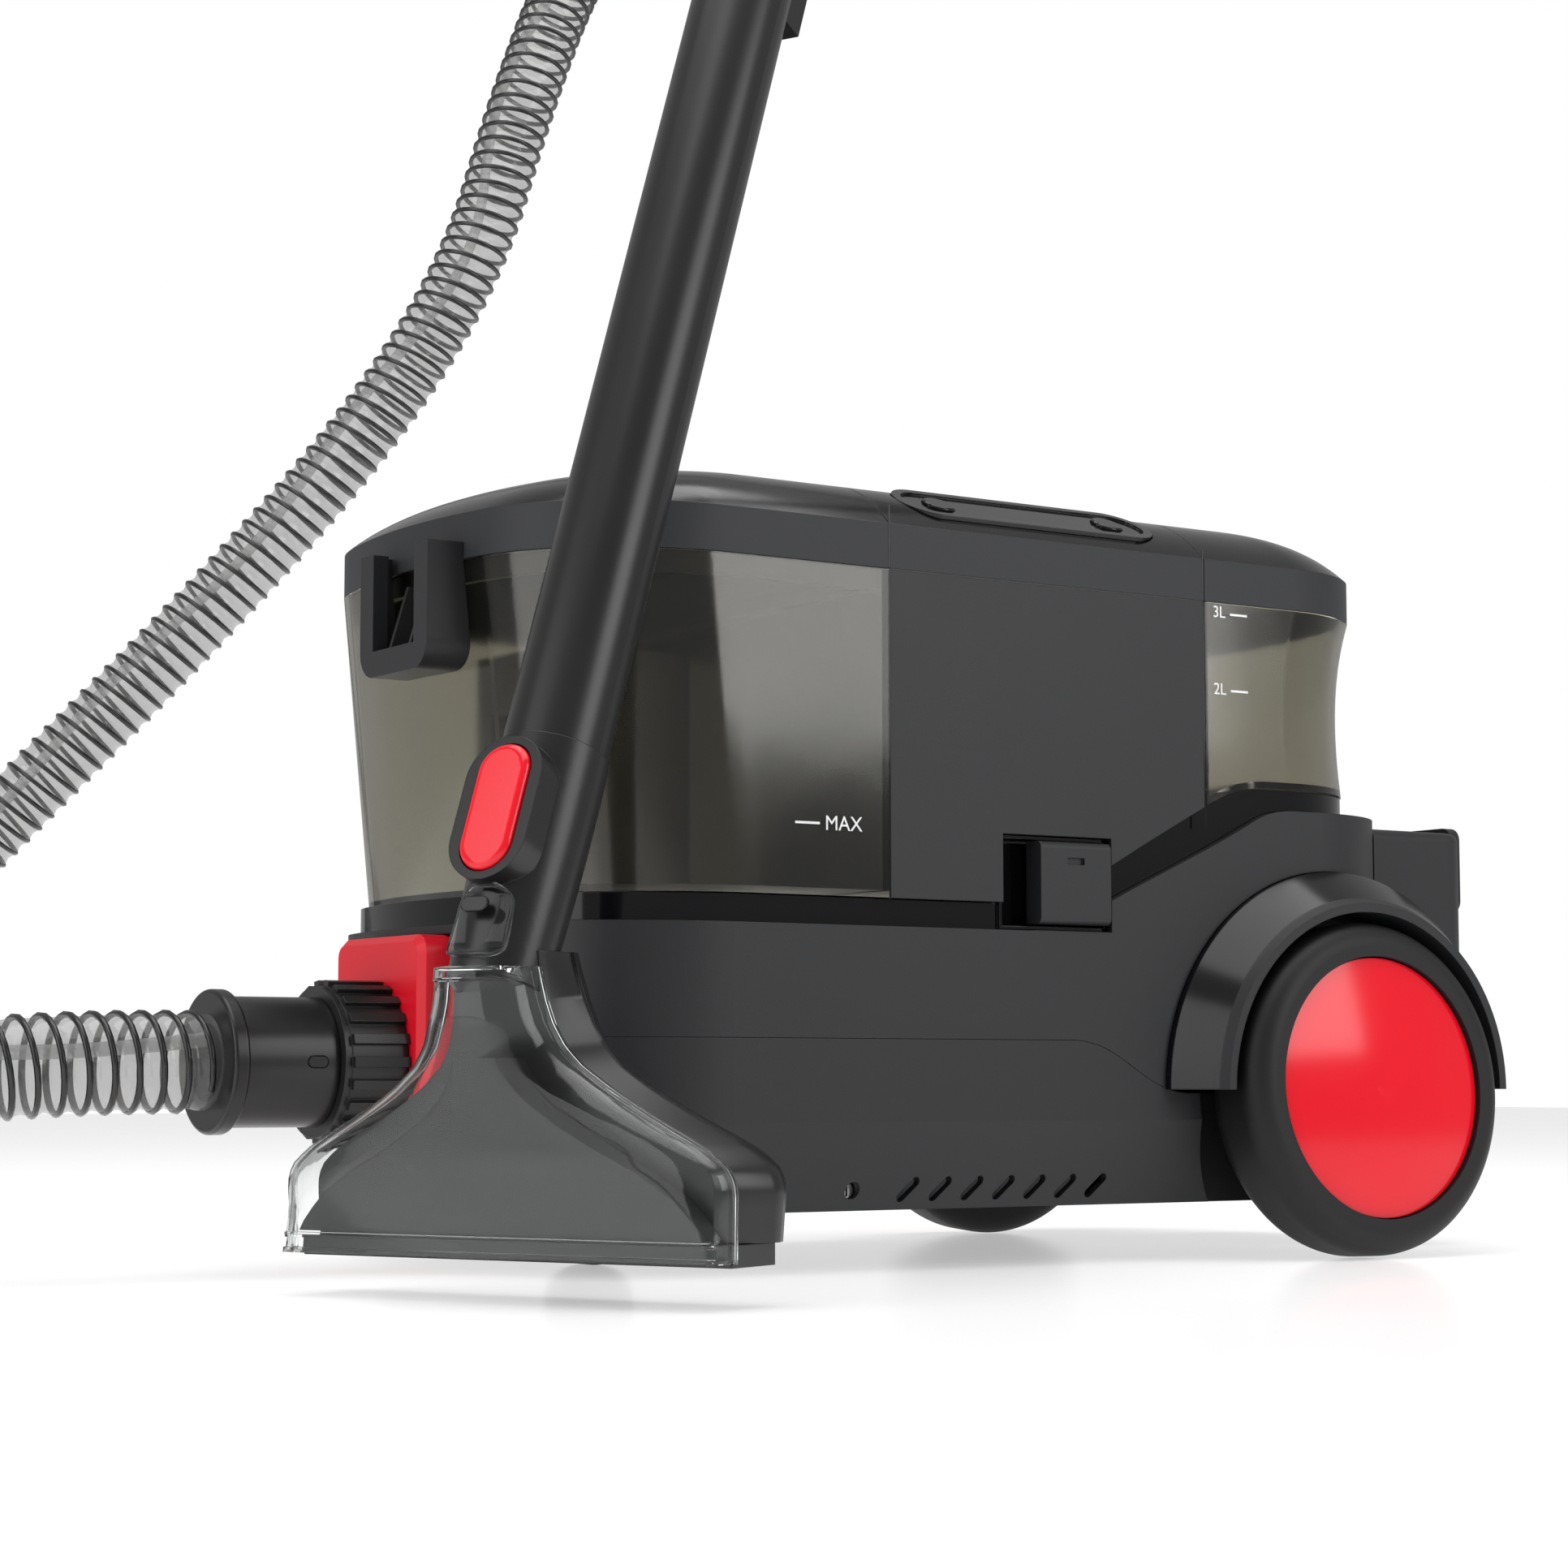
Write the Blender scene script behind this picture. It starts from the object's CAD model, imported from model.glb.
import math

import bmesh
import bpy
import numpy as np
from mathutils import Matrix, Vector


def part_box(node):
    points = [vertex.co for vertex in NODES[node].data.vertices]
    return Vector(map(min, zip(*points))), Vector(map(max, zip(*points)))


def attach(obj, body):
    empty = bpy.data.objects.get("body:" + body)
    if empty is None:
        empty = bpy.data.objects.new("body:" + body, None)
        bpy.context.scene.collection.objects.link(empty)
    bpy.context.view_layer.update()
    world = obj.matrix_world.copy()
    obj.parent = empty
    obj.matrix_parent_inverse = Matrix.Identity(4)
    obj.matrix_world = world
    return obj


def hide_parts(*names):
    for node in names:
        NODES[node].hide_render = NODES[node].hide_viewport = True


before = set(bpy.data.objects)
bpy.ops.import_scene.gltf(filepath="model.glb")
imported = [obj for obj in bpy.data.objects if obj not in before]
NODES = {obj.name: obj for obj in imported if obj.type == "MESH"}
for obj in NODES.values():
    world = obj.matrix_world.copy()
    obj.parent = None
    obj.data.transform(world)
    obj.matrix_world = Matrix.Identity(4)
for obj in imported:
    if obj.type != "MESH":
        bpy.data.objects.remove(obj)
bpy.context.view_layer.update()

# Places are in working millimetres: the origin is on the floor under the middle of the rear axle,
# -Y to the nose and +X to the machine's left.
axle_low, axle_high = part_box("stub_axles")
ORIGIN = Vector(((axle_low.x + axle_high.x) / 2, (axle_low.y + axle_high.y) / 2, 0))
scene = bpy.context.scene


def at(x, y, z):
    """A working-frame point as a row-frame vector in metres."""
    return ORIGIN + Vector((x, y, z)) / 1000


# ---------------------------------------------------------------- camera
CAMERA_SPOT = (1224, -1010, 79)
CAMERA_HEADING = (-0.8387, 0.5446)
CAMERA_PITCH = math.radians(5.2)
SENSOR_WIDTH = 36
FOCAL_LENGTH = 74.53
NEAR_CLIP = 0.01
camera_data = bpy.data.cameras.new("camera")
camera = bpy.data.objects.new("camera", camera_data)
scene.collection.objects.link(camera)
forward = Vector((
    CAMERA_HEADING[0] * math.cos(CAMERA_PITCH),
    CAMERA_HEADING[1] * math.cos(CAMERA_PITCH),
    math.sin(CAMERA_PITCH),
))
camera.location = at(*CAMERA_SPOT)
camera.rotation_euler = forward.to_track_quat("-Z", "Y").to_euler()
camera_data.sensor_width = SENSOR_WIDTH
camera_data.lens = FOCAL_LENGTH
camera_data.clip_start = NEAR_CLIP
scene.camera = camera

# ---------------------------------------------------------------- hose
HOSE_ROUTE = [
    (0, -492.3, 86), (0, -550, 86), (-7, -610, 80), (-27, -668, 70), (-62, -722, 57),
    (-112, -764, 43), (-176, -792, 31), (-250, -804, 23), (-334, -800, 21), (-424, -778, 21),
    (-506, -734, 22), (-578, -670, 30), (-630, -590, 52), (-656, -498, 92), (-650, -420, 160),
    (-616, -355, 238), (-575, -262, 346), (-532, -172, 463), (-512, -110, 570), (-515, -76, 680),
    (-531, -30, 783), (-591, 50, 876), (-595, 166, 949), (-525, 273, 998), (-402, 331, 1010),
    (-267, 315, 994), (-164, 232, 960), (-67.4, 66.53, 938.26), (-17.32, -34.59, 903.76),
]
HOSE_PITCH = 0.0100
SKIN_VALLEY = 0.0185
SKIN_RIDGE = 0.0013
RIB_LINE_R = 0.0196
RIB_R = 0.0014
RIB_STEPS = 22
RIB_MARGIN = 0.004
AROUND = 28
SUPPLY_TUBE_R = 0.0031


def follow(route):
    """Points along the smooth line of a route."""
    curve = bpy.data.curves.new("route", "CURVE")
    curve.dimensions = "3D"
    spline = curve.splines.new("NURBS")
    spline.points.add(len(route) - 1)
    for point, place in zip(spline.points, route):
        point.co = (*at(*place), 1)
    spline.order_u = 3
    spline.use_endpoint_u = True
    spline.resolution_u = 24
    holder = bpy.data.objects.new("route", curve)
    scene.collection.objects.link(holder)
    bpy.context.view_layer.update()
    line = bpy.data.meshes.new_from_object(holder)
    points = np.array([v.co[:] for v in line.vertices])
    bpy.data.objects.remove(holder)
    bpy.data.meshes.remove(line)
    return points


def spaced(points, step):
    """The same line with points every step metres, and how far along it each one is."""
    run = np.concatenate([[0], np.cumsum(np.linalg.norm(np.diff(points, axis=0), axis=1))])
    count = int(run[-1] / step)
    marks = np.linspace(0, run[-1], count + 1)
    return np.stack([np.interp(marks, run, points[:, k]) for k in range(3)], axis=1), marks


def frames_along(points):
    """Tangent and two cross directions at each point, with no twist."""
    tangent = np.gradient(points, axis=0)
    tangent /= np.linalg.norm(tangent, axis=1)[:, None]
    side = np.cross(tangent[0], (0, 0, 1.0))
    side /= np.linalg.norm(side)
    sides = []
    for t in tangent:
        side = side - t * np.dot(side, t)
        side = side / np.linalg.norm(side)
        sides.append(side)
    sides = np.array(sides)
    return tangent, sides, np.cross(tangent, sides)


def ring_mesh(name, rings, closed_ends=False):
    """A tube through an array of rings, shape (rings, segments, 3)."""
    count, around = rings.shape[:2]
    index = np.arange(count * around).reshape(count, around)
    a = index[:-1]
    b = index[1:]
    quads = np.stack([a, np.roll(a, -1, 1), np.roll(b, -1, 1), b], axis=2).reshape(-1, 4)
    faces = quads.tolist()
    if closed_ends:
        faces += [index[0][::-1].tolist(), index[-1].tolist()]
    mesh = bpy.data.meshes.new(name)
    mesh.from_pydata(rings.reshape(-1, 3).tolist(), [], faces)
    mesh.polygons.foreach_set("use_smooth", [True] * len(mesh.polygons))
    mesh.update()
    obj = bpy.data.objects.new(name, mesh)
    scene.collection.objects.link(obj)
    return obj


def tube_along(name, points, radius, around):
    """A plain round tube of one radius along points."""
    _, side, up = frames_along(points)
    angle = np.linspace(0, 2 * math.pi, around, endpoint=False)
    offset = (np.cos(angle)[None, :, None] * side[:, None] + np.sin(angle)[None, :, None] * up[:, None])
    return ring_mesh(name, points[:, None] + radius * offset, closed_ends=True)


hose_line = follow(HOSE_ROUTE)
hose_points, hose_run = spaced(hose_line, 0.0016)
_, hose_side, hose_up = frames_along(hose_points)
skin_angle = np.linspace(0, 2 * math.pi, AROUND, endpoint=False)
phase = hose_run[:, None] / HOSE_PITCH - skin_angle[None] / (2 * math.pi)
skin_radius = SKIN_VALLEY + SKIN_RIDGE * np.abs(np.cos(math.pi * phase)) ** 1.4
skin_offset = (np.cos(skin_angle)[None, :, None] * hose_side[:, None]
               + np.sin(skin_angle)[None, :, None] * hose_up[:, None])
hose = ring_mesh("hose_skin", hose_points[:, None] + skin_radius[..., None] * skin_offset)

rib_run = np.arange(RIB_MARGIN, hose_run[-1] - RIB_MARGIN, HOSE_PITCH / RIB_STEPS)
rib_centre, rib_side, rib_up = (
    np.stack([np.interp(rib_run, hose_run, values[:, k]) for k in range(3)], axis=1)
    for values in (hose_points, hose_side, hose_up)
)
rib_angle = 2 * math.pi * rib_run / HOSE_PITCH
rib_out = np.cos(rib_angle)[:, None] * rib_side + np.sin(rib_angle)[:, None] * rib_up
hose_rib = tube_along("hose_rib", rib_centre + RIB_LINE_R * rib_out, RIB_R, 6)

core_points, core_run = spaced(hose_line, 0.006)
_, core_side, core_up = frames_along(core_points)
core_swing = 0.0075 * np.sin(2 * math.pi * core_run / 0.31)
core_lift = -0.009 + 0.004 * np.sin(2 * math.pi * core_run / 0.23)
core_line = core_points + core_swing[:, None] * core_side + core_lift[:, None] * core_up
supply_tube = tube_along("supply_tube", core_line, SUPPLY_TUBE_R, 10)

for piece in (hose, hose_rib, supply_tube):
    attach(piece, "machine")
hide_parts("hose")


# ---------------------------------------------------------------- materials
def bare(name):
    """A new node material: its tree, its shader and its output."""
    made = bpy.data.materials.new(name)
    made.use_nodes = True
    tree = made.node_tree
    return made, tree, tree.nodes["Principled BSDF"]


def grain(tree, shader, size, depth, bevel=0.0):
    """Fine moulded texture of that size in metres, on softened edges."""
    coords = tree.nodes.new("ShaderNodeTexCoord")
    noise = tree.nodes.new("ShaderNodeTexNoise")
    noise.inputs["Scale"].default_value = 1 / size
    noise.inputs["Detail"].default_value = 2
    bump = tree.nodes.new("ShaderNodeBump")
    bump.inputs["Distance"].default_value = depth
    bump.inputs["Strength"].default_value = 1
    tree.links.new(coords.outputs["Object"], noise.inputs["Vector"])
    tree.links.new(noise.outputs["Fac"], bump.inputs["Height"])
    tree.links.new(bump.outputs["Normal"], shader.inputs["Normal"])
    if bevel:
        soft = tree.nodes.new("ShaderNodeBevel")
        soft.samples = 4
        soft.inputs["Radius"].default_value = bevel
        tree.links.new(soft.outputs["Normal"], bump.inputs["Normal"])
    return coords


def mottle(tree, shader, coords, colour, spread, size, rough, rough_spread):
    """Slow variation of colour and roughness, as handling and moulding leave."""
    noise = tree.nodes.new("ShaderNodeTexNoise")
    noise.inputs["Scale"].default_value = 1 / size
    noise.inputs["Detail"].default_value = 4
    mix = tree.nodes.new("ShaderNodeMix")
    mix.data_type = "RGBA"
    mix.inputs["A"].default_value = (*[c * (1 - spread) for c in colour], 1)
    mix.inputs["B"].default_value = (*[c * (1 + spread) for c in colour], 1)
    spanned = tree.nodes.new("ShaderNodeMapRange")
    spanned.inputs["To Min"].default_value = rough - rough_spread
    spanned.inputs["To Max"].default_value = rough + rough_spread
    tree.links.new(coords.outputs["Object"], noise.inputs["Vector"])
    tree.links.new(noise.outputs["Fac"], mix.inputs["Factor"])
    tree.links.new(noise.outputs["Fac"], spanned.inputs["Value"])
    tree.links.new(mix.outputs["Result"], shader.inputs["Base Color"])
    tree.links.new(spanned.outputs["Result"], shader.inputs["Roughness"])


def plastic(name, colour, rough, size=0.0006, depth=0.00003, spread=0.12, bevel=0.0006,
            specular=0.5, coat=0.0, metallic=0.0):
    """A moulded plastic, rubber or metal."""
    made, tree, shader = bare(name)
    shader.inputs["Specular IOR Level"].default_value = specular
    shader.inputs["Coat Weight"].default_value = coat
    shader.inputs["Coat Roughness"].default_value = 0.04
    shader.inputs["Metallic"].default_value = metallic
    coords = grain(tree, shader, size, depth, bevel)
    mottle(tree, shader, coords, colour, spread, 0.06, rough, rough * 0.12)
    return made


def clear(name, colour, alpha, rough=0.05, size=0.03, depth=0.00008, specular=0.6):
    """A clear or smoke moulding, a little uneven."""
    made, tree, shader = bare(name)
    shader.inputs["Alpha"].default_value = alpha
    shader.inputs["Specular IOR Level"].default_value = specular
    coords = grain(tree, shader, size, depth)
    mottle(tree, shader, coords, colour, 0.1, 0.05, rough, rough * 0.3)
    return made


def glassy(name, colour, rough=0.02, ior=1.45):
    """A clear moulding that bends what is seen through it."""
    made, tree, shader = bare(name)
    shader.inputs["Transmission Weight"].default_value = 1
    shader.inputs["IOR"].default_value = ior
    coords = grain(tree, shader, 0.03, 0.00005)
    mottle(tree, shader, coords, colour, 0.04, 0.05, rough, rough * 0.3)
    return made


body = plastic("charcoal", (0.012, 0.0124, 0.0140), 0.46, 0.0005, 0.00004, specular=0.36)
gloss = plastic("gloss_black", (0.003, 0.003, 0.004), 0.08, 0.004, 0.000004, specular=0.3)
satin = plastic("satin_black", (0.007, 0.007, 0.008), 0.30, 0.0006, 0.00001, specular=0.4)
rubber = plastic("tyre_rubber", (0.006, 0.006, 0.007), 0.50, 0.0005, 0.00003, specular=0.3)
red = plastic("red_gloss", (0.70, 0.003, 0.014), 0.12, 0.02, 0.00002, spread=0.04, specular=0.4)
red_satin = plastic("red_satin", (0.66, 0.004, 0.016), 0.36, 0.0006, 0.00002, spread=0.04, specular=0.35)
dark = plastic("inner_dark", (0.009, 0.009, 0.010), 0.35, 0.0006, 0.00003, specular=0.4)
steel = plastic("steel", (0.45, 0.45, 0.46), 0.3, 0.001, 0.00001, metallic=1.0)
green = plastic("board_green", (0.02, 0.12, 0.04), 0.4)
grey = plastic("light_grey", (0.5, 0.5, 0.5), 0.5)
mark = plastic("mark_white", (0.75, 0.75, 0.75), 0.45, bevel=0)
smoke = glassy("smoke_clear", (0.60, 0.58, 0.49), 0.10)
cover_clear = glassy("cover_clear", (0.90, 0.92, 0.91), 0.03, ior=1.28)
skin = clear("hose_clear", (0.22, 0.22, 0.215), 0.40, rough=0.12, size=0.004, depth=0.0002, specular=0.8)
rib_black = plastic("rib_black", (0.008, 0.008, 0.009), 0.25, 0.002, 0.00002, bevel=0)
tube_clear = clear("tube_clear", (0.5, 0.5, 0.5), 0.5, rough=0.1)


def two_finish(name, specular, depth, low_colour, high_colour, low_rough, high_rough, low_at, high_at):
    """A moulding with a grained and a polished zone, and the node whose value picks between them."""
    made, tree, shader = bare(name)
    shader.inputs["Specular IOR Level"].default_value = specular
    coords = grain(tree, shader, 0.0005, depth, 0.0008)
    zone = tree.nodes.new("ShaderNodeMapRange")
    zone.inputs["From Min"].default_value = low_at
    zone.inputs["From Max"].default_value = high_at
    mix = tree.nodes.new("ShaderNodeMix")
    mix.data_type = "RGBA"
    mix.inputs["A"].default_value = (*low_colour, 1)
    mix.inputs["B"].default_value = (*high_colour, 1)
    rough = tree.nodes.new("ShaderNodeMapRange")
    rough.inputs["To Min"].default_value = low_rough
    rough.inputs["To Max"].default_value = high_rough
    tree.links.new(zone.outputs["Result"], mix.inputs["Factor"])
    tree.links.new(zone.outputs["Result"], rough.inputs["Value"])
    tree.links.new(mix.outputs["Result"], shader.inputs["Base Color"])
    tree.links.new(rough.outputs["Result"], shader.inputs["Roughness"])
    return made, tree, coords, zone


# lids: polished above the crease and grained on the upright side below it
CREASE_RISE = 0.0190
CREASE_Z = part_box("dirty_tank_lid")[0].z + CREASE_RISE
CREASE_BLEND = 0.0003
lid, lid_tree, lid_coords, lid_zone = two_finish(
    "lid_black", 0.32, 0.000012, (0.019, 0.020, 0.023), (0.003, 0.003, 0.004), 0.5, 0.14,
    CREASE_Z - CREASE_BLEND, CREASE_Z + CREASE_BLEND)
split = lid_tree.nodes.new("ShaderNodeSeparateXYZ")
lid_tree.links.new(lid_coords.outputs["Object"], split.inputs["Vector"])
lid_tree.links.new(split.outputs["Z"], lid_zone.inputs["Value"])

# wheel arches: polished slope outside and grained lip inside, split by the distance from the axle
AXLE_Z = 0.0746
ARCH_LIP_R = 0.0850
ARCH_SLOPE_R = 0.0856
arch, arch_tree, arch_coords, arch_zone = two_finish(
    "arch_black", 0.35, 0.00001, (0.014, 0.0145, 0.016), (0.004, 0.004, 0.005), 0.48, 0.16,
    ARCH_LIP_R, ARCH_SLOPE_R)
moved = arch_tree.nodes.new("ShaderNodeVectorMath")
moved.operation = "SUBTRACT"
moved.inputs[1].default_value = (0, ORIGIN.y, AXLE_Z)
flat = arch_tree.nodes.new("ShaderNodeVectorMath")
flat.operation = "MULTIPLY"
flat.inputs[1].default_value = (0, 1, 1)
reach = arch_tree.nodes.new("ShaderNodeVectorMath")
reach.operation = "LENGTH"
arch_tree.links.new(arch_coords.outputs["Object"], moved.inputs[0])
arch_tree.links.new(moved.outputs["Vector"], flat.inputs[0])
arch_tree.links.new(flat.outputs["Vector"], reach.inputs[0])
arch_tree.links.new(reach.outputs["Value"], arch_zone.inputs["Value"])

FINISH = {
    arch: "wheel_arches",
    body: "base_tray upper_shell motor_housing side_latch rear_cover cord_hook_upper "
          "parking_bracket nozzle_back handle_left handle_right",
    gloss: "deck_band control_panel power_button mode_button filler_cap",
    lid: "top_cover dirty_tank_lid clean_tank_lid carry_handle",
    satin: "wand_tube wand_housing parking_tongue handle_cuff hose_cuff cuff_button cuff_flange",
    rubber: "tyre_left tyre_right castor_wheel mains_gland dirty_tank_seal tank_valve",
    red: "hub_cap_left hub_cap_right release_button trigger",
    red_satin: "hose_port",
    dark: "axle_blocks castor_fork suction_fan fan_housing water_pump separator_column bayonet_collar "
          "nozzle_sole wheel_core_left wheel_core_right",
    steel: "stub_axles body_screws hinge_pins suction_motor",
    green: "circuit_board",
    grey: "exhaust_filter tank_float",
    smoke: "dirty_tank clean_tank",
    cover_clear: "nozzle_cover",
    skin: "hose",
}
for finish, names in FINISH.items():
    for name in names.split():
        node = NODES[name]
        node.data.materials.clear()
        node.data.materials.append(finish)
hose.data.materials.append(skin)
hose_rib.data.materials.append(rib_black)
supply_tube.data.materials.append(tube_clear)

# ---------------------------------------------------------------- level marks
TO_LEFT = Matrix(((0, 0, 1, 0), (1, 0, 0, 0), (0, 1, 0, 0), (0, 0, 0, 1)))
SIDE_X = 125
PRINT_X = 125.05
DASH_THICK = 0.12


def side_text(name, words, body_name, y, z, height):
    """Thin printed figures on the machine's left side, their left end and baseline at y, z."""
    data = bpy.data.curves.new(name, "FONT")
    data.body = words
    data.size = height / 1000
    data.extrude = 0.00004
    data.materials.append(mark)
    obj = bpy.data.objects.new(name, data)
    scene.collection.objects.link(obj)
    obj.matrix_world = Matrix.Translation(at(PRINT_X, y, z)) @ TO_LEFT
    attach(obj, body_name)


def slab(name, corners_low, corners_high, finish, body_name, round_edge=0.0):
    """A small bevelled block between two working-frame corners."""
    mesh = bpy.data.meshes.new(name)
    form = bmesh.new()
    bmesh.ops.create_cube(form, size=1)
    low, high = at(*corners_low), at(*corners_high)
    for vertex in form.verts:
        vertex.co = Vector([(low[k] + high[k]) / 2 + vertex.co[k] * (high[k] - low[k]) for k in range(3)])
    if round_edge:
        bmesh.ops.bevel(form, geom=form.edges[:], offset=round_edge / 1000, segments=2, affect="EDGES")
    form.to_mesh(mesh)
    form.free()
    mesh.materials.append(finish)
    obj = bpy.data.objects.new(name, mesh)
    scene.collection.objects.link(obj)
    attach(obj, body_name)


LEVEL_MARKS = (
    # name, figures, body, figures' y, z and height, dash from and to y, dash foot z
    ("max", "MAX", "dirty_tank", -276.5, 180.5, 8.6, -291, -279, 182.6),
    ("3l", "3L", "clean_tank", -68.5, 284.4, 7.4, -58.5, -48.5, 285.6),
    ("2l", "2L", "clean_tank", -68.5, 249.8, 7.4, -58.5, -48.5, 251.2),
)
for label, words, rider, text_y, text_z, text_height, dash_from, dash_to, dash_z in LEVEL_MARKS:
    side_text(f"mark_{label}", words, rider, text_y, text_z, text_height)
    slab(f"dash_{label}", (SIDE_X, dash_from, dash_z), (SIDE_X + DASH_THICK, dash_to, dash_z + 1),
         mark, rider, 0.03)

# ---------------------------------------------------------------- floor nozzle
# In the wand's own frame: u along the lip, v the way the wand leans, w up.
WAND_FOOT = (192.9, -459.0, 14.5)
WAND_TURN = math.radians(26.35)
WAND_LEAN = math.radians(22.1)
NECK_V, NECK_W = 4.1, 122


def on_wand(u, v, w):
    """A point of the wand's own frame as a row-frame vector."""
    return at(WAND_FOOT[0] + u * math.cos(WAND_TURN) - v * math.sin(WAND_TURN),
              WAND_FOOT[1] + u * math.sin(WAND_TURN) + v * math.cos(WAND_TURN), WAND_FOOT[2] + w)


OUTLINE_W = (1.5, 27, 33, 39, 44, 50, 56, 62, 69, 76, 84, 92, 100, 106, 112)
OUTLINE_U = (94, 95, 93, 86, 77, 65, 54, 44, 34, 27.5, 23.5, 21, 19.5, 18.5, 18)
RIDGE_W = (1.5, 11, 22, 31, 40, 49, 58, 67, 78, 90, 112)
RIDGE_U = (91, 88, 78, 64, 46, 30, 18, 11, 7, 4, 3)
FRONT_W = (1.5, 38, 62, 84, 109)
FRONT_V = (-10, -14, -21, -28, -28.5)
SEAT_W = (1.5, 60, 84, 109)
SEAT_V = (1.5, -1.0, -6, -9)
FLANGE = 2.4
RIM_DROP = 2.2
RIDGE_MARGIN = 3
SHELL_THICK = 1.6
COLLAR_W = (99, 104)
LOW_LEDGE_W = 3.4
HIGH_LEDGE_W = (7.0, 9.0)
STEP_PROUD = 1.5


def lofted(name, levels, section, finish, body_name, thickness=0.0, closed=False):
    """A smooth skin through section(w)'s (u, v) points at each level w; a closed one has end caps."""
    rows = [[on_wand(u, v, w) for u, v in section(w)] for w in levels]
    count = len(rows[0])
    mesh = bpy.data.meshes.new(name)
    faces = []
    for k in range(len(rows) - 1):
        for j in range(count if closed else count - 1):
            a, b = k * count + j, k * count + (j + 1) % count
            faces.append((a, b, b + count, a + count))
    if closed:
        faces.append(tuple(range(count))[::-1])
        faces.append(tuple((len(rows) - 1) * count + j for j in range(count)))
    mesh.from_pydata([point[:] for row in rows for point in row], [], faces)
    form = bmesh.new()
    form.from_mesh(mesh)
    bmesh.ops.recalc_face_normals(form, faces=form.faces[:])
    form.to_mesh(mesh)
    form.free()
    mesh.polygons.foreach_set("use_smooth", [True] * len(mesh.polygons))
    mesh.set_sharp_from_angle(angle=math.radians(50))
    mesh.materials.append(finish)
    obj = bpy.data.objects.new(name, mesh)
    scene.collection.objects.link(obj)
    if thickness:
        solid = obj.modifiers.new("thickness", "SOLIDIFY")
        solid.thickness = thickness / 1000
        solid.offset = -1
    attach(obj, body_name)
    return obj


def shell_section(w):
    """The clear cover: a raised middle that rolls down to a flange on each side."""
    half = np.interp(w, OUTLINE_W, OUTLINE_U)
    ridge = min(np.interp(w, RIDGE_W, RIDGE_U), half - RIDGE_MARGIN)
    front = np.interp(w, FRONT_W, FRONT_V)
    seat = np.interp(w, SEAT_W, SEAT_V)
    collar = STEP_PROUD if COLLAR_W[0] <= w <= COLLAR_W[1] else 0.0
    ledge = STEP_PROUD if w < LOW_LEDGE_W or HIGH_LEDGE_W[0] <= w <= HIGH_LEDGE_W[1] else 0.0
    front -= collar + ledge
    rim = seat - RIM_DROP
    roll = [(ridge + (half - ridge) * math.sin(a), rim + (front - rim) * math.cos(a))
            for a in np.linspace(0, math.pi / 2, 9)]
    right = [(half + FLANGE, seat), (half + FLANGE, rim)] + roll[::-1]
    return right + [(-u, v) for u, v in reversed(right)]


SHELL_LEVELS = ([1.5, 3.3, 3.5, 6.9, 7.1, 8.9, 9.1, 14, 20, 25, 28, 31, 34, 37, 40]
                + [42 + 2.5 * k for k in range(23)] + [98.8, 99.1, 103.9, 104.2])
nozzle_shell = lofted("nozzle_shell", SHELL_LEVELS, shell_section, cover_clear, "nozzle_cover",
                      thickness=SHELL_THICK)
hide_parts("nozzle_cover")


def channel_section(w):
    """The dark inside of the suction channel, just behind the clear cover's raised middle."""
    half = np.interp(w, OUTLINE_W, OUTLINE_U)
    ridge = min(np.interp(w, RIDGE_W, RIDGE_U), half - RIDGE_MARGIN) - 0.5
    front = np.interp(w, FRONT_W, FRONT_V) + 3.4
    seat = np.interp(w, SEAT_W, SEAT_V) + 1.2
    crown = [(ridge * k / 6, front + 1.6 * (k / 6) ** 4) for k in range(7)]
    right = [(ridge + 1.5, seat), (ridge + 0.8, (front + seat) / 2)] + crown[::-1]
    return right + [(-u, v) for u, v in reversed(right[:-1])]


CHANNEL_LEVELS = [9.5, 13, 18, 23, 28, 32, 36, 40, 44, 48, 52, 56, 60, 64, 68, 72]
lofted("nozzle_channel", CHANNEL_LEVELS, channel_section, dark, "machine")


def back_section(w):
    """The dark back housing: narrower at its seat and wider behind."""
    half = np.interp(w, OUTLINE_W, OUTLINE_U)
    seat = np.interp(w, SEAT_W, SEAT_V) + 2.2
    deep = np.interp(w, (8, 38, 66, 112), (37, 38, 29, 23))
    near = half - np.interp(w, (8, 54, 88, 112), (9, 8, 2, -1))
    wide = half + np.interp(w, (8, 54, 88, 112), (3, 4, 3, 1))
    right = [(near, seat), (near + 1.5, seat + 3), (wide - 1.0, deep * 0.62), (wide, deep - 9),
             (wide - 2.5, deep - 2.5), (wide - 8, deep)]
    return right + [(-u, v) for u, v in reversed(right)]


BACK_LEVELS = [8, 12, 20, 25, 28, 31, 34, 37, 40] + [42 + 3 * k for k in range(23)] + [110]
nozzle_back = lofted("nozzle_housing", BACK_LEVELS, back_section, satin, "machine", closed=True)
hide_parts("nozzle_back")


def wand_frame(w, proud):
    """Matrix of the wand's front at axis height w: x across, y up the wand, z facing out."""
    across = Vector((math.cos(WAND_TURN), math.sin(WAND_TURN), 0))
    lean_v = Vector((-math.sin(WAND_TURN), math.cos(WAND_TURN), 0))
    along = lean_v * math.sin(WAND_LEAN) + Vector((0, 0, math.cos(WAND_LEAN)))
    facing = across.cross(along)
    middle = on_wand(0, NECK_V + math.tan(WAND_LEAN) * (w - NECK_W), w) + facing * proud / 1000
    turned = Matrix((across, along, facing)).transposed().to_4x4()
    return Matrix.Translation(middle) @ turned


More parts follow.
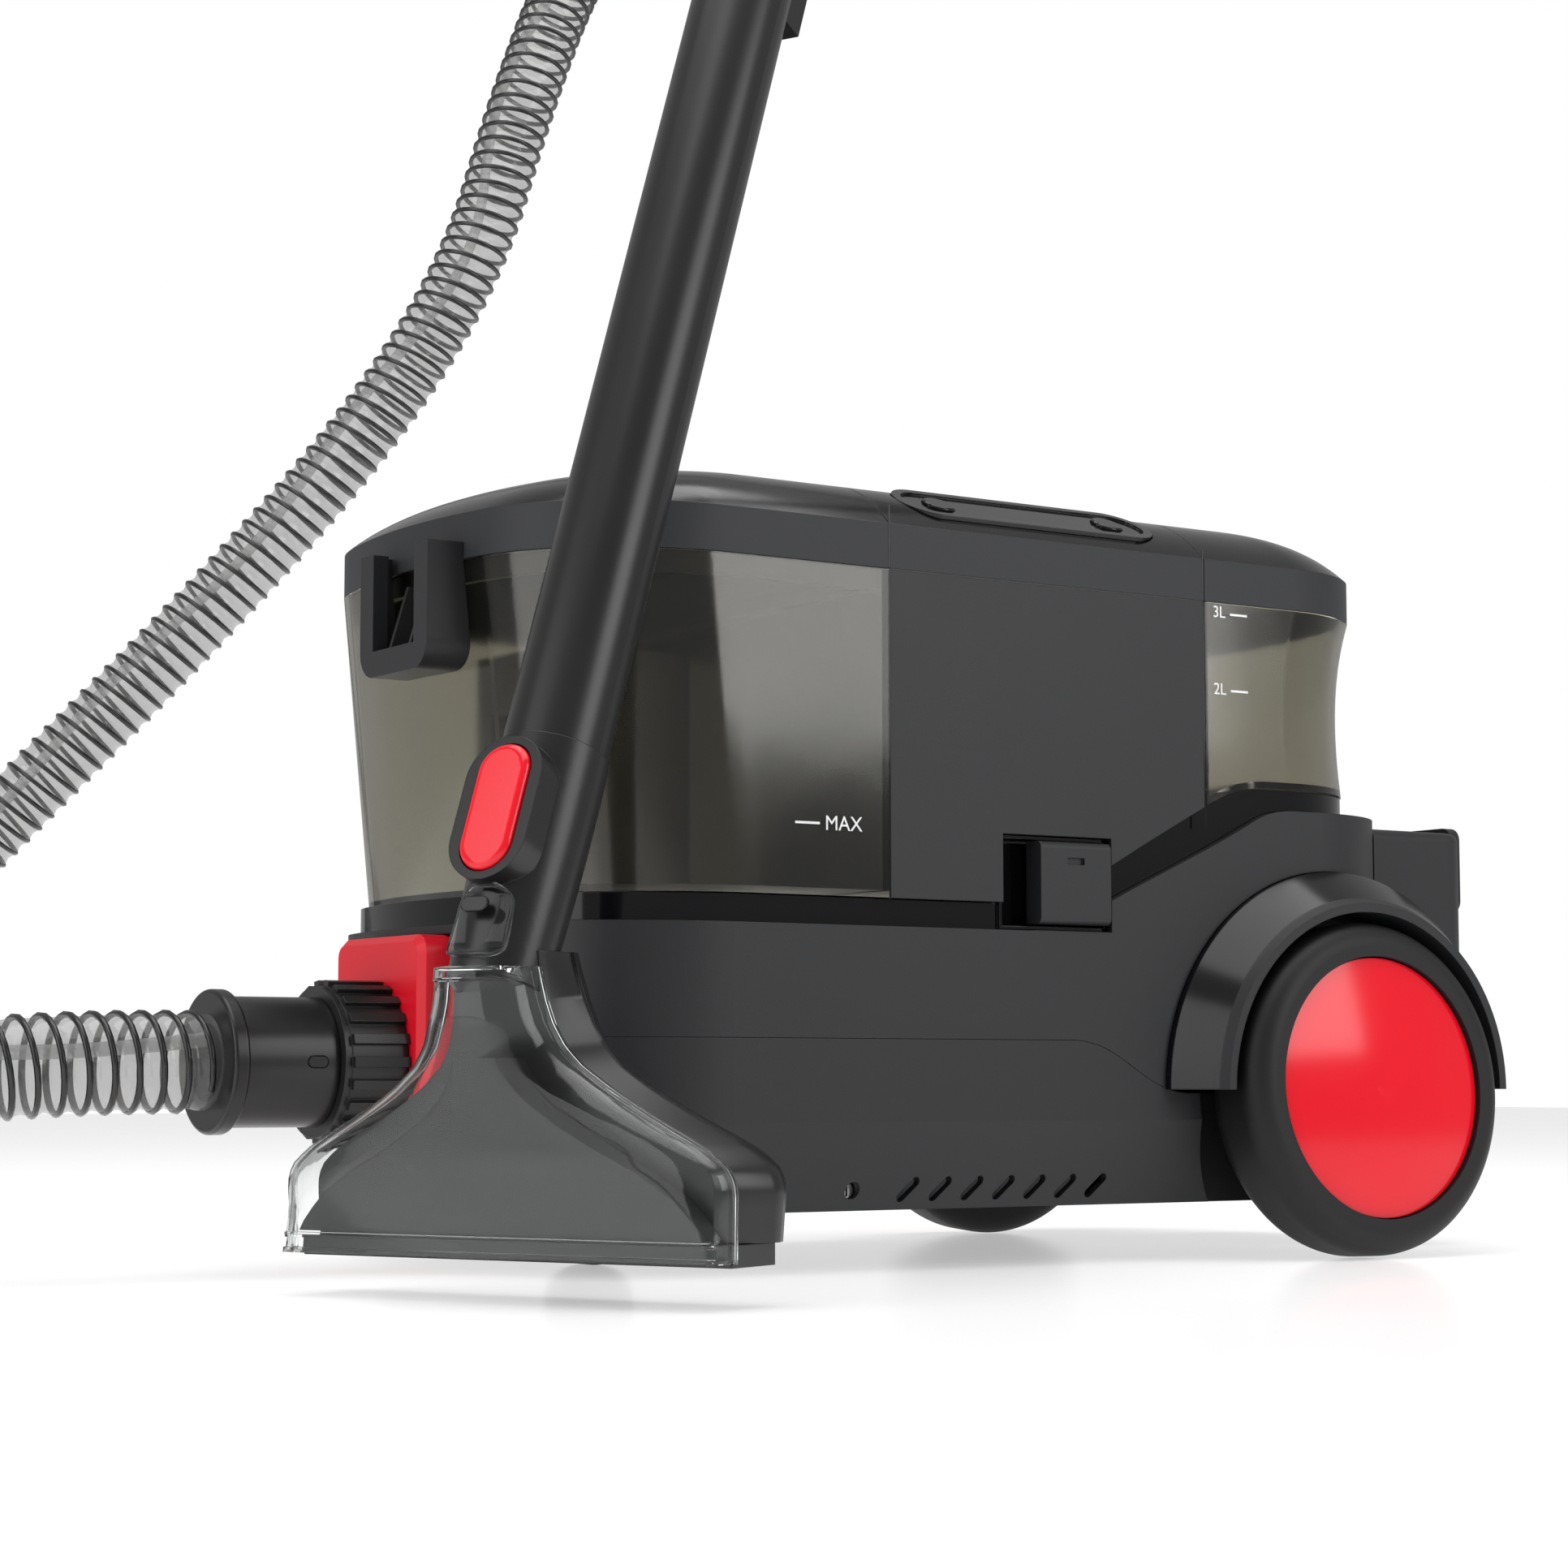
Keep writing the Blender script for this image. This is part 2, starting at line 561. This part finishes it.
def pad(name, width, height, corner, thick, finish, frame_matrix, arch_drop=0.0, edge=0.5, taper=0.0):
    """A plate on the nozzle cover with rounded corners, bent back at its sides by arch_drop."""
    steps = 8
    outline = []
    for cx, cy, start in ((1, 1, 0), (-1, 1, 90), (-1, -1, 180), (1, -1, 270)):
        for k in range(steps + 1):
            turn = math.radians(start + 90 * k / steps)
            outline.append((cx * (width / 2 - corner) + corner * math.cos(turn),
                            cy * (height / 2 - corner) + corner * math.sin(turn)))
    curve = bpy.data.curves.new(name, "CURVE")
    curve.dimensions = "2D"
    curve.fill_mode = "BOTH"
    spline = curve.splines.new("POLY")
    spline.points.add(len(outline) - 1)
    for point, (x, y) in zip(spline.points, outline):
        point.co = (x / 1000, y / 1000, 0, 1)
    spline.use_cyclic_u = True
    curve.extrude = thick / 2000
    curve.bevel_depth = edge / 1000
    curve.bevel_resolution = 2
    holder = bpy.data.objects.new(name + "_outline", curve)
    scene.collection.objects.link(holder)
    bpy.context.view_layer.update()
    mesh = bpy.data.meshes.new_from_object(holder)
    bpy.data.objects.remove(holder)
    for vertex in mesh.vertices:
        side = vertex.co.x / (width / 2000)
        vertex.co.z -= arch_drop / 1000 * side * side
        vertex.co.x *= 1 + taper * (-vertex.co.y / (height / 2000))
    mesh.name = name
    mesh.materials.clear()
    mesh.materials.append(finish)
    mesh.transform(frame_matrix)
    obj = bpy.data.objects.new(name, mesh)
    scene.collection.objects.link(obj)
    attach(obj, "nozzle_cover")


pad("cover_tongue", 23, 27, 6, 1.6, cover_clear, wand_frame(113, 22.4), arch_drop=5.5, taper=0.06)

# ---------------------------------------------------------------- seams, lid lines and the tongue's slot
SEAM_INNER_X, SEAM_OUTER_X = 124.9, 125.07
FRONT_SEAM_Y = (-244.5, -243.7)
REAR_SEAM_Y = (-74.5, -73.7)
SEAMS = (
    ("seam_front", FRONT_SEAM_Y, (153, 291)),
    ("seam_front_lid", FRONT_SEAM_Y, (291.4, 318)),
    ("seam_rear", REAR_SEAM_Y, (190, 291)),
    ("seam_rear_lid", REAR_SEAM_Y, (291.4, 314)),
    ("seam_top", (-243.6, -74), (290.5, 291.1)),
)
for side, side_name in ((-1, "right"), (1, "left")):
    flank = sorted((side * SEAM_INNER_X, side * SEAM_OUTER_X))
    for label, along, upright in SEAMS:
        slab(f"{label}_{side_name}", (flank[0], along[0], upright[0]), (flank[1], along[1], upright[1]),
             gloss, "machine")
pad("tongue_slot", 11, 5.2, 2.5, 0.8, gloss, wand_frame(117.5, 23.6), edge=0.3)

# ---------------------------------------------------------------- floor, sky and lights
HALF_FLOOR = 6.0
FLOOR_GLOW = 0.42
SKY_AS_LIGHT = 0.42
floor_mesh = bpy.data.meshes.new("floor")
floor_mesh.from_pydata([(-HALF_FLOOR, -HALF_FLOOR, 0), (HALF_FLOOR, -HALF_FLOOR, 0),
                        (HALF_FLOOR, HALF_FLOOR, 0), (-HALF_FLOOR, HALF_FLOOR, 0)], [], [(0, 1, 2, 3)])
floor = bpy.data.objects.new("floor", floor_mesh)
scene.collection.objects.link(floor)
floor_finish, floor_tree, floor_shader = bare("floor_white")
floor_shader.inputs["Specular IOR Level"].default_value = 0.5
floor_coords = grain(floor_tree, floor_shader, 0.02, 0.00001)
mottle(floor_tree, floor_shader, floor_coords, (0.93, 0.93, 0.93), 0.005, 0.5, 0.16, 0.01)
floor_shader.inputs["Emission Color"].default_value = (1, 1, 1, 1)
floor_shader.inputs["Emission Strength"].default_value = FLOOR_GLOW
floor_mesh.materials.append(floor_finish)

world = bpy.data.worlds.new("studio")
scene.world = world
world.use_nodes = True
sky_tree = world.node_tree
sky = sky_tree.nodes["Background"]
sky.inputs["Color"].default_value = (1, 1, 1, 1)
# the backdrop is white to the eye and dimmer as a light, so that dark mouldings keep their depth
seen = sky_tree.nodes.new("ShaderNodeLightPath")
level = sky_tree.nodes.new("ShaderNodeMapRange")
level.inputs["To Min"].default_value = SKY_AS_LIGHT
level.inputs["To Max"].default_value = 1.0
sky_tree.links.new(seen.outputs["Is Camera Ray"], level.inputs["Value"])
sky_tree.links.new(level.outputs["Result"], sky.inputs["Strength"])


def softbox(name, spot, aim, width, height, power):
    """A rectangular light aimed at a working-frame point."""
    data = bpy.data.lights.new(name, "AREA")
    data.shape = "RECTANGLE"
    data.size = width
    data.size_y = height
    data.energy = power
    obj = bpy.data.objects.new(name, data)
    scene.collection.objects.link(obj)
    obj.location = at(*spot)
    obj.rotation_euler = (at(*aim) - at(*spot)).to_track_quat("-Z", "Y").to_euler()
    obj.visible_camera = False


softbox("light_top", (100, -200, 2200), (0, -200, 100), 2.4, 2.0, 40)
softbox("light_left", (300, -2300, 900), (0, -250, 200), 1.6, 1.8, 20)
softbox("light_right", (1900, 900, 1100), (0, -100, 200), 1.0, 1.4, 18)

scene.view_settings.view_transform = "Standard"

bpy.context.view_layer.update()
